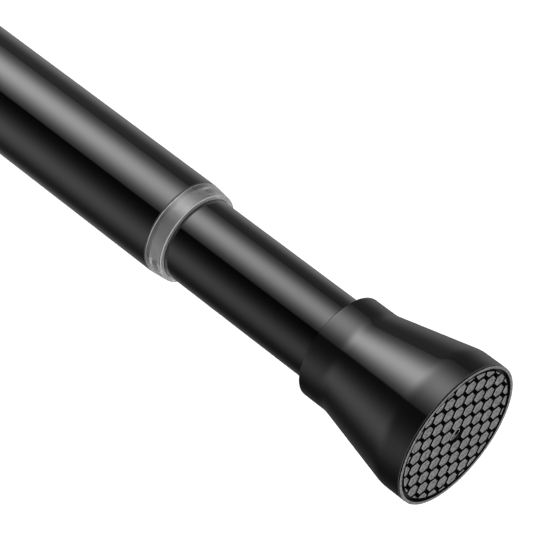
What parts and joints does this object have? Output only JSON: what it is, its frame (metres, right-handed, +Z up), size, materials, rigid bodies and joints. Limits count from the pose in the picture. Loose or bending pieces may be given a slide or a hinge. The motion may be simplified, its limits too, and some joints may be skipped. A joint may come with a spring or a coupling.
{
  "type": "spring tension rod",
  "caption": "Telescopic curtain rod that a spring presses between two walls, with a twist lock, a clear collar and flared end caps with honeycomb rubber pads.",
  "frame": {"origin": "on the rod's axis, where the end cap of the outer tube meets its wall", "axes": "+X along the rod towards the end cap of the inner tube, +Z up, +Y across"},
  "size_m": [0.457, 0.0326, 0.0326],
  "materials": {
    "tube_paint": "gloss black powder coat on drawn steel tube",
    "cap_plastic": "satin black, moulded in a firm rubbery plastic",
    "pad_rubber": "black rubber, matt grey on the faces of the tread",
    "clear_plastic": "clear moulded plastic, slightly milky",
    "zinc_steel": "bright zinc plated steel",
    "spring_steel": "oiled spring wire",
    "nylon": "natural moulded nylon"
  },
  "bodies": {
    "outer": {"outer_tube": "tube_paint", "clear_collar": "clear_plastic", "far_end_cap": "cap_plastic", "far_pad": "pad_rubber"},
    "glide": {"drag_bush": "nylon"},
    "lock_spindle": {"spindle": "zinc_steel", "cam_plug": "nylon", "retainer_screw": "zinc_steel", "cam_washer": "zinc_steel", "spring_seat": "nylon", "stop_washer": "zinc_steel", "lock_nut": "zinc_steel", "spring": "spring_steel"},
    "jam_ring": {"cam_ring": "nylon"},
    "inner": {"inner_tube": "tube_paint", "guide_plug": "nylon", "plug_pins": "zinc_steel", "spring_washer": "zinc_steel", "near_end_cap": "cap_plastic", "near_pad": "pad_rubber"}
  },
  "joints": [
    {"name": "length_slide", "type": "slide", "parent": "outer", "child": "glide", "axis": [1, 0, 0], "range_m": [0, 0.254]},
    {"name": "twist_lock", "type": "hinge", "parent": "glide", "child": "lock_spindle", "pos_m": [0.0385, 0, 0], "axis": [1, 0, 0], "range_deg": [-40, 40]},
    {"name": "cam_shift", "type": "hinge", "parent": "lock_spindle", "child": "jam_ring", "pos_m": [0.0282, 0, 0.0012], "axis": [1, 0, 0], "range_deg": [-40, 40]},
    {"name": "spring_slide", "type": "slide", "parent": "lock_spindle", "child": "inner", "axis": [-1, 0, 0], "range_m": [0, 0.032], "stiffness_N_per_m": 1450, "springref_m": -0.01, "deforming": ["spring"]}
  ],
  "couplings": [
    {"joint": "cam_shift", "follows": "twist_lock", "ratio": -1}
  ]
}
